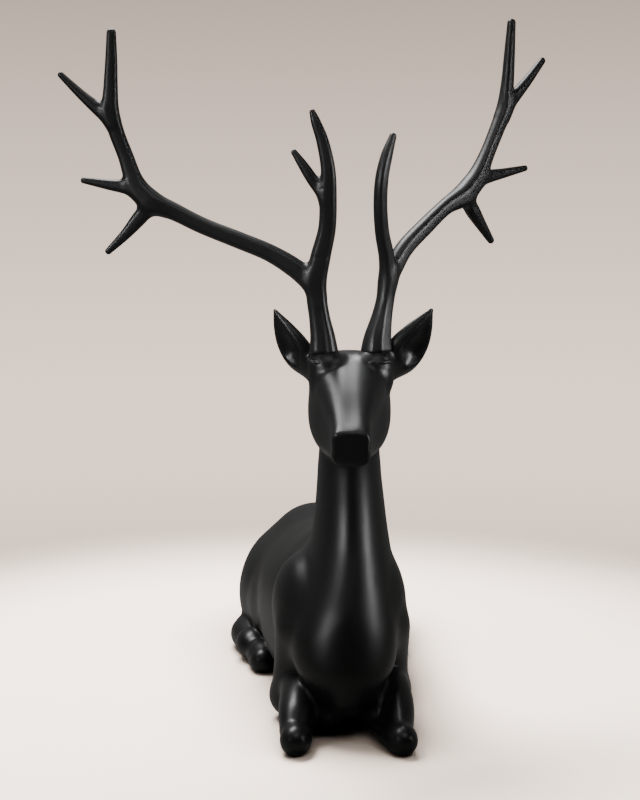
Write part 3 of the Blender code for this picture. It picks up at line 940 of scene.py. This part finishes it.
def knuckle_tree() -> GeometryNodeTree:
    """The node tree that sets uneven knuckles round a closed path.

    Returns:
        A tree with named inputs: the number of knuckles, their size, its least and greatest factors
        along each axis, the seed and the material.
    """
    tree = bpy.data.node_groups.new("Knuckle ring", "GeometryNodeTree")
    tree.is_modifier = True
    face = tree.interface
    face.new_socket("Path", in_out="INPUT", socket_type="NodeSocketGeometry")
    for name, kind in (("Knuckles", "NodeSocketInt"), ("Size", "NodeSocketFloat"),
                       ("Smallest", "NodeSocketVector"), ("Largest", "NodeSocketVector"),
                       ("Seed", "NodeSocketInt"), ("Iron", "NodeSocketMaterial")):
        face.new_socket(name, in_out="INPUT", socket_type=kind)
    face.new_socket("Ring", in_out="OUTPUT", socket_type="NodeSocketGeometry")
    given = wire(tree, "NodeGroupInput", (-900, 0))
    curve = wire(tree, "GeometryNodeMeshToCurve", (-700, 100))
    spread = wire(tree, "GeometryNodeResampleCurve", (-500, 100))
    bead = wire(tree, "GeometryNodeMeshIcoSphere", (-500, -150), {"Subdivisions": 3})
    uneven = wire(tree, "FunctionNodeRandomValue", (-500, -350), data_type="FLOAT_VECTOR")
    place = wire(tree, "GeometryNodeInstanceOnPoints", (-250, 0))
    real = wire(tree, "GeometryNodeRealizeInstances", (-50, 0))
    soft = wire(tree, "GeometryNodeSetShadeSmooth", (120, 0))
    paint = wire(tree, "GeometryNodeSetMaterial", (300, 0))
    out = wire(tree, "NodeGroupOutput", (500, 0))
    connect(tree, (given, "Path", curve, "Mesh"), (curve, "Curve", spread, "Curve"),
            (given, "Knuckles", spread, "Count"), (given, "Size", bead, "Radius"),
            (given, "Smallest", uneven, "Min"), (given, "Largest", uneven, "Max"),
            (given, "Seed", uneven, "Seed"), (spread, "Curve", place, "Points"),
            (bead, "Mesh", place, "Instance"), (uneven, "Value", place, "Scale"),
            (place, "Instances", real, "Geometry"), (real, "Geometry", soft, "Geometry"),
            (soft, "Geometry", paint, "Geometry"), (given, "Iron", paint, "Material"),
            (paint, "Geometry", out, "Ring"))
    return tree


def grow(name: str, tree: GeometryNodeTree, path: Mesh, inputs: dict[str, object]) -> Object:
    """Run a node tree on a path and keep what it makes as a plain mesh.

    Args:
        name: the finished piece's name.
        tree: the node tree.
        path: the mesh that the tree starts from.
        inputs: values for the tree's named inputs.

    Returns:
        The finished object, with no modifier.
    """
    piece = stand(name, path)
    modifier = piece.modifiers.new("Grow", "NODES")
    modifier.node_group = tree
    sockets = {item.name: item.identifier for item in tree.interface.items_tree if item.in_out == "INPUT"}
    for label, value in inputs.items():
        modifier[sockets[label]] = value
    bake(piece, modifier)
    return piece


@dataclass
class Antler:
    """One antler: branches drawn flat as rows of (out, ahead, up, radius), on a sheet that leans back.

    Flutes are rows of (out, up, lift) and casting marks rows of (out, ahead, up, reach). FLUTE and
    MARK hold the height and the width of such a line.
    """

    FLUTE, MARK, BUTT_EDGE = (-0.22, 0.6), (-0.10, 0.22), 0.5

    node: str
    side: Side
    root: Point
    sweep: float
    branches: Sequence[Rows]
    flutes: Sequence[Rows]
    marks: Rows
    iron: Material
    grain: float = 0.17
    triangles: int = 190000
    butt_height: float = 75.4
    stump_play: float = 0.55
    stump_foot: float = 70.0
    stump_drop: float = 2.5
    fork_start: float = 0.62
    fork_blend: float = 1.3
    tip_pull: float = 0.2
    ring_drop: float = 1.75
    ring_inset: float = 1.9
    ring_points: int = 48

    def front(self) -> Array:
        """The way the flat drawing faces."""
        return np.array((self.side.value * sin(self.sweep), -cos(self.sweep), 0.0))

    def at(self, out: float, ahead: float, up: float) -> Array:
        """A point of the flat drawing, in figure units."""
        s = self.side.value
        return np.array(self.root) + np.array((s * cos(self.sweep) * out, sin(self.sweep) * out - ahead, up))

    def socket(self) -> Stump:
        """Foot, top and radius of the stump that carries the antler."""
        first, second = self.branches[0][:2]
        low, high = self.at(*first[:3]), self.at(*second[:3])
        run = (high - low) / (high[2] - low[2])
        top = low + run * (self.butt_height - low[2])
        return low + run * (self.stump_foot - low[2]), top - run * self.stump_drop, first[3] + self.stump_play

    def shape(self) -> Clay:
        """Work the branches into each other, then flute and mark them and cut the butt level."""
        clay = Clay(f"{self.node}_skin")
        front = self.front()
        for number, branch in enumerate(self.branches):
            rows = [(*self.at(out, ahead, up), radius) for out, ahead, up, radius in branch]
            end, radius = np.array(rows[-1][:3]), rows[-1][3]
            rows[-1] = (*(end - unit(end - np.array(rows[-2][:3])) * radius * self.tip_pull), radius)
            if number > 0:
                rows[0] = (*rows[0][:3], rows[0][3] * self.fork_start)
            clay.add(Tine(rows, front), self.fork_blend if number > 0 else 0.0)
        for flute in self.flutes:
            clay.crest([self.at(out, 0.0, up) + front * lift for out, up, lift in flute], *self.FLUTE)
        for out, ahead, up, reach in self.marks:
            middle = self.at(out, ahead, up)
            across = np.array((cos(self.sweep), 0.0, 0.0)) * reach
            clay.crest([middle - across + front * reach, middle + across + front * reach], *self.MARK)
        low, high = clay.span()
        clay.carve(Slab(np.array((0.0, 0.0, self.butt_height)), np.array((0.0, 0.0, -1.0)),
                        tuple(low - 2), (high[0] + 2, high[1] + 2, self.butt_height + 3)), self.BUTT_EDGE)
        return clay

    def ring_path(self) -> Mesh:
        """A closed path round the stump, just under the butt."""
        foot, top, radius = self.socket()
        centre = top + (top - foot) * (self.butt_height - self.ring_drop - top[2]) / (top[2] - foot[2])
        count = self.ring_points
        turns = [2 * pi * i / count for i in range(count)]
        ring = [Vector((centre - GROUND_CENTRE) * UNIT)
                + Vector((cos(turn), sin(turn), 0)) * (radius - self.ring_inset) * UNIT for turn in turns]
        made = bpy.data.meshes.new(f"{self.node}_ring_path")
        made.from_pydata(ring, [(i, (i + 1) % count) for i in range(count)], [])
        return made

    def build(self, tree: GeometryNodeTree) -> list[Object]:
        """Cast the antler and grow the knuckles round its foot.

        Args:
            tree: the knuckle tree.

        Returns:
            The antler and its ring of knuckles.
        """
        piece = cast(self.shape(), self.grain, self.triangles)
        piece.data.materials.append(self.iron)
        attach(piece, "root")
        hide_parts(self.node)
        ring = grow(f"{self.node}_knuckles", tree, self.ring_path(), {
            "Knuckles": 9, "Size": 0.01, "Smallest": (1.7, 1.7, 0.75), "Largest": (2.3, 2.3, 1.0),
            "Seed": 4 + self.side.value, "Iron": self.iron})
        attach(ring, "root")
        return [piece, ring]


RIGHT_BRANCHES = (
    ((0.0, 0, 73.8, 3.0), (0.2, 0, 75.5, 2.85), (0.4, 0, 78.3, 2.45), (1.0, 0, 82.1, 2.05), (1.5, 0, 85.6, 2.0),
     (1.7, 0.2, 89.6, 2.1), (0.9, 0.8, 94.1, 1.95), (-0.2, 1.6, 99.5, 1.7), (-0.3, 2.4, 105.2, 1.65),
     (-0.2, 3.0, 110.5, 1.4), (0.8, 3.0, 115.7, 1.2), (2.1, 3.0, 119.4, 0.95), (2.8, 3.0, 121.4, 0.6)),
    ((0.4, 2.4, 105.2, 1.5), (2.7, 2.4, 108.7, 1.1), (4.4, 2.4, 111.3, 0.95), (6.2, 2.4, 113.9, 0.6)),
    ((1.3, 0, 86.4, 1.3), (2.9, 0, 89.2, 1.9), (6.0, 0, 91.9, 1.9), (10.7, 0, 94.7, 1.7),
     (16.5, 0, 97.1, 1.65), (23.3, 0, 99.8, 1.6), (28.8, 0, 102.5, 1.7),
     (33.5, 0, 104.6, 2.2), (36.3, 0, 108.2, 1.8), (38.0, 0, 113.1, 1.5),
     (39.7, 0, 117.7, 1.5), (40.7, 0, 121.9, 1.6), (40.6, 0, 126.4, 1.35), (40.4, 0, 131.1, 1.15),
     (40.3, 0, 136.2, 0.9)),
    ((40.8, 0, 119.6, 1.7), (43.0, 0, 121.8, 1.2), (46.5, 0, 124.9, 0.9), (50.1, 0, 128.4, 0.6)),
    ((34.1, 0, 105.3, 2.0), (37.2, 0, 107.0, 1.4), (41.5, 0, 107.7, 1.0), (46.2, 0, 108.5, 0.6)),
    ((32.8, 0, 104.2, 2.1), (35.3, 0, 101.6, 1.45), (38.2, 0, 98.3, 1.05), (41.7, 0, 94.9, 0.65)),
)
LEFT_BRANCHES = (
    ((0.0, 0, 73.8, 3.1), (0.1, 0, 75.4, 3.0), (0.4, 0, 78.0, 2.6), (1.6, 0, 82.2, 1.95), (2.6, 0, 85.9, 1.7),
     (3.0, 0.2, 89.2, 1.65), (2.6, 0.8, 93.6, 1.5), (1.1, 1.6, 98.6, 1.35), (0.4, 2.4, 103.9, 1.3),
     (0.6, 3.0, 108.9, 1.25), (1.9, 3.0, 113.2, 1.1), (3.6, 3.0, 116.9, 0.7)),
    ((2.4, 0, 85.4, 1.1), (3.2, 0, 88.4, 1.5), (4.8, 0, 91.4, 1.75), (8.0, 0, 95.2, 1.7),
     (13.8, 0, 99.2, 1.65), (19.6, 0, 102.8, 1.6), (25.2, 0, 105.2, 2.2),
     (29.2, 0, 108.8, 1.9), (32.2, 0, 113.3, 1.5), (35.0, 0, 118.0, 1.5),
     (37.3, 0, 122.3, 1.6), (38.2, 0, 127.4, 1.3), (38.7, 0, 133.3, 1.1), (39.2, 0, 139.9, 0.85)),
    ((36.9, 0, 120.8, 1.6), (39.9, 0, 124.4, 1.3), (44.6, 0, 128.2, 1.0), (49.4, 0, 132.5, 0.7)),
    ((27.2, 0, 106.9, 1.8), (31.8, 0, 108.5, 1.35), (37.7, 0, 109.3, 1.0), (44.4, 0, 110.2, 0.62)),
    ((25.4, 0, 104.9, 2.1), (27.8, 0, 102.0, 1.45), (30.6, 0, 98.9, 1.1), (33.8, 0, 95.5, 0.7)),
)
RIGHT_MARKS = ((-0.2, 2.4, 107.0, 1.3), (0.9, 0.8, 94.0, 1.6))
RIGHT_FLUTES = (((-0.2, 75.6, 2.6), (0.2, 79.5, 2.1), (0.9, 83.5, 1.8)),)
LEFT_FLUTES = (((-1.6, 75.6, 2.1), (-1.2, 80.0, 1.8), (0.2, 86.5, 1.4)),)


@dataclass(frozen=True)
class Lamp:
    """A soft rectangular lamp, aimed at a point; a grid can narrow its spread, in degrees."""

    name: str
    at: Point
    size: tuple[float, float]
    watts: float
    aim: Point = (0.0, 0.0, 0.6)
    spread: float = 180.0


LAMPS = (
    Lamp("left softbox", (-2.3, -2.0, 1.5), (0.9, 0.9), 2.4, (0.0, -0.35, 0.85), 24.0),
    Lamp("right softbox", (2.8, -1.5, 1.4), (0.8, 0.9), 1.9, (0.0, -0.35, 0.8), 22.0),
    Lamp("high left softbox", (-2.0, -0.2, 3.0), (1.3, 1.0), 7.0),
    Lamp("front fill", (0.4, -2.4, 3.3), (2.2, 1.2), 20.0),
    Lamp("top softbox", (-0.55, 0.8, 3.2), (2.0, 1.1), 150.0),
)


class Studio:
    """The pale floor, the soft light and the camera."""

    FLOOR_RADIUS = 4.2
    FLOOR_POINTS = 96
    WALL_STRENGTH = 5.0
    WALL_SHADES = ((0.24, 0.60), (0.31, 0.27), (0.42, 0.34), (0.50, 0.34), (0.73, 0.235), (1.0, 0.12))
    GLOWS = (((-1.0, 0.5, 0.1), 0.13), ((1.0, 0.5, 0.1), 0.13), ((0.0, 1.0, 0.3), 0.16))
    GLOW_SHARPNESS = 3.0
    DIMMEST = 0.012
    CAMERA_AT = (-0.4685, -3.564, 1.17)
    BEARING = radians(8.0)
    PITCH = radians(8.85)
    FOCAL_LENGTH = 95.625
    SENSOR_WIDTH = 36.0

    def floor(self) -> None:
        """A pale disc that fades into the background; the camera sees it brighter than the iron does, and
        darker where the stag stands close above it, a painted contact shadow.
        """
        shape = bpy.data.meshes.new("floor")
        count, radius = self.FLOOR_POINTS, self.FLOOR_RADIUS
        turns = [2 * pi * i / count for i in range(count)]
        ring = [(radius * cos(turn), radius * sin(turn), 0.0) for turn in turns]
        shape.from_pydata(ring, [], [tuple(range(count))])
        made = stand("floor", shape)
        stone = bpy.data.materials.new("pale floor")
        stone.use_nodes = True
        tree = stone.node_tree
        tree.nodes.clear()
        coordinates = wire(tree, "ShaderNodeTexCoord", (-900, 0))
        length = wire(tree, "ShaderNodeVectorMath", (-700, 0), operation="LENGTH")
        fade = wire(tree, "ShaderNodeMapRange", (-500, 0), {"From Min": 0.72, "From Max": 1.5},
                    interpolation_type="SMOOTHSTEP")
        mirrored = wire(tree, "ShaderNodeBsdfDiffuse", (-300, 100), {"Color": (0.26, 0.25, 0.24, 1.0)})
        # Painted contact shadow: ambient occlusion within 0.2 m darkens the floor's colour round and under the
        # stag.
        painted_contact_shadow = wire(tree, "ShaderNodeAmbientOcclusion", (-700, -150),
                      {"Distance": 0.2, "Color": (3.5, 2.85, 2.4, 1.0)})
        seen = wire(tree, "ShaderNodeBsdfDiffuse", (-300, -50))
        clear = wire(tree, "ShaderNodeBsdfTransparent", (-300, -200))
        path = wire(tree, "ShaderNodeLightPath", (-500, 400))
        choose = wire(tree, "ShaderNodeMixShader", (-50, 100))
        vanish = wire(tree, "ShaderNodeMixShader", (150, 0))
        out = wire(tree, "ShaderNodeOutputMaterial", (350, 0))
        connect(tree, (coordinates, "Object", length, 0), (length, "Value", fade, "Value"),
                (painted_contact_shadow, "Color", seen, "Color"), (path, "Is Camera Ray", choose, 0),
                (mirrored, 0, choose, 1), (seen, 0, choose, 2), (fade, "Result", vanish, 0),
                (choose, 0, vanish, 1), (clear, 0, vanish, 2), (vanish, 0, out, "Surface"))
        shape.materials.append(stone)

    def lamp(self, lamp: Lamp) -> None:
        """Hang up one lamp and aim it."""
        light = bpy.data.lights.new(lamp.name, "AREA")
        light.shape = "RECTANGLE"
        light.size, light.size_y = lamp.size
        light.energy = lamp.watts
        light.spread = radians(lamp.spread)
        made = stand(lamp.name, light)
        made.location = lamp.at
        made.rotation_euler = (Vector(lamp.aim) - Vector(lamp.at)).to_track_quat("-Z", "Y").to_euler()

    def surroundings(self) -> None:
        """A room that the camera sees plain and pale, and that the iron mirrors darker, with soft glows."""
        world = bpy.data.worlds.new("studio")
        bpy.context.scene.world = world
        world.use_nodes = True
        tree = world.node_tree
        tree.nodes.clear()
        coordinates = wire(tree, "ShaderNodeTexCoord", (-1200, 0))
        split = wire(tree, "ShaderNodeSeparateXYZ", (-1000, 0))
        height = wire(tree, "ShaderNodeMapRange", (-750, 300), {"From Min": -0.4, "From Max": 0.1})
        seen = wire(tree, "ShaderNodeValToRGB", (-500, 300))
        ramp = seen.color_ramp
        for place, shade in self.WALL_SHADES:
            stop = ramp.elements[-1] if place == 1.0 else ramp.elements.new(place)
            stop.color = (shade, shade * 0.80, shade * 0.67, 1.0)
        ramp.elements[0].color = (0.94, 0.75, 0.63, 1.0)
        total = None
        for row, (way, strength) in enumerate(self.GLOWS):
            y = -200 - 220 * row
            facing = wire(tree, "ShaderNodeVectorMath", (-1000, y), {1: Vector(way).normalized()},
                          operation="DOT_PRODUCT")
            keep = wire(tree, "ShaderNodeMath", (-800, y), {1: 0.0}, operation="MAXIMUM")
            lobe = wire(tree, "ShaderNodeMath", (-650, y), {1: self.GLOW_SHARPNESS}, operation="POWER")
            mixed = wire(tree, "ShaderNodeMath", (-500, y), {1: strength, 2: self.DIMMEST},
                         operation="MULTIPLY_ADD")
            connect(tree, (coordinates, "Generated", facing, 0), (facing, "Value", keep, 0),
                    (keep, 0, lobe, 0), (lobe, 0, mixed, 0))
            if total is not None:
                connect(tree, (total, 0, mixed, 2))
            total = mixed
        for_camera = wire(tree, "ShaderNodeBackground", (-200, 300), {"Strength": self.WALL_STRENGTH})
        for_iron = wire(tree, "ShaderNodeBackground", (-200, -200), {"Color": (1.0, 0.975, 0.95, 1.0)})
        path = wire(tree, "ShaderNodeLightPath", (-200, 600))
        mix = wire(tree, "ShaderNodeMixShader", (50, 0))
        out = wire(tree, "ShaderNodeOutputWorld", (250, 0))
        connect(tree, (coordinates, "Generated", split, 0), (split, "Z", height, "Value"),
                (height, "Result", seen, "Fac"), (seen, "Color", for_camera, "Color"),
                (total, 0, for_iron, "Strength"), (path, "Is Camera Ray", mix, 0),
                (for_iron, 0, mix, 1), (for_camera, 0, mix, 2), (mix, 0, out, "Surface"))

    def camera(self) -> None:
        """The camera at the photograph's viewing angle."""
        lens = bpy.data.cameras.new("camera")
        lens.sensor_fit = "HORIZONTAL"
        lens.sensor_width = self.SENSOR_WIDTH
        lens.lens = self.FOCAL_LENGTH
        made = stand("camera", lens)
        made.location = self.CAMERA_AT
        level = cos(self.PITCH)
        look = Vector((sin(self.BEARING) * level, cos(self.BEARING) * level, -sin(self.PITCH)))
        made.rotation_euler = look.to_track_quat("-Z", "Y").to_euler()
        bpy.context.scene.camera = made

    def build(self) -> None:
        """Set up the floor, the lamps, the surroundings and the camera."""
        self.floor()
        self.surroundings()
        for lamp in LAMPS:
            self.lamp(lamp)
        self.camera()


def main() -> None:
    """Build the stag and its studio, and report each piece."""
    logging.basicConfig(level=logging.INFO, format="%(name)s: %(message)s")
    skin = cast_skin_group()
    body_iron = BlackIron("satin black body iron", (0.006, 0.006, 0.0062, 1.0), 0.38).material(skin)
    # The antler iron is a little lighter than the body's: partly the antlers' own tone, partly painted light
    # that stands in for the soft highlights along the tines.
    antler_iron = BlackIron("satin black antler iron", (0.009, 0.009, 0.0092, 1.0), 0.42).material(skin)
    antlers = (
        Antler("antler_right", Side.RIGHT, root=(-5.9, -3.0, 0.0), sweep=radians(8.5), branches=RIGHT_BRANCHES,
               flutes=RIGHT_FLUTES, marks=RIGHT_MARKS, iron=antler_iron),
        Antler("antler_left", Side.LEFT, root=(4.2, -3.0, 0.0), sweep=radians(35.8), branches=LEFT_BRANCHES,
               flutes=LEFT_FLUTES, marks=(), iron=antler_iron))
    pieces = [Body(body_iron).build([antler.socket() for antler in antlers])]
    tree = knuckle_tree()
    for antler in antlers:
        pieces.extend(antler.build(tree))
    for piece in pieces:
        LOG.info("%s: %d triangles", piece.name, triangle_count(piece.data))
    Studio().build()


if __name__ == "__main__":
    main()
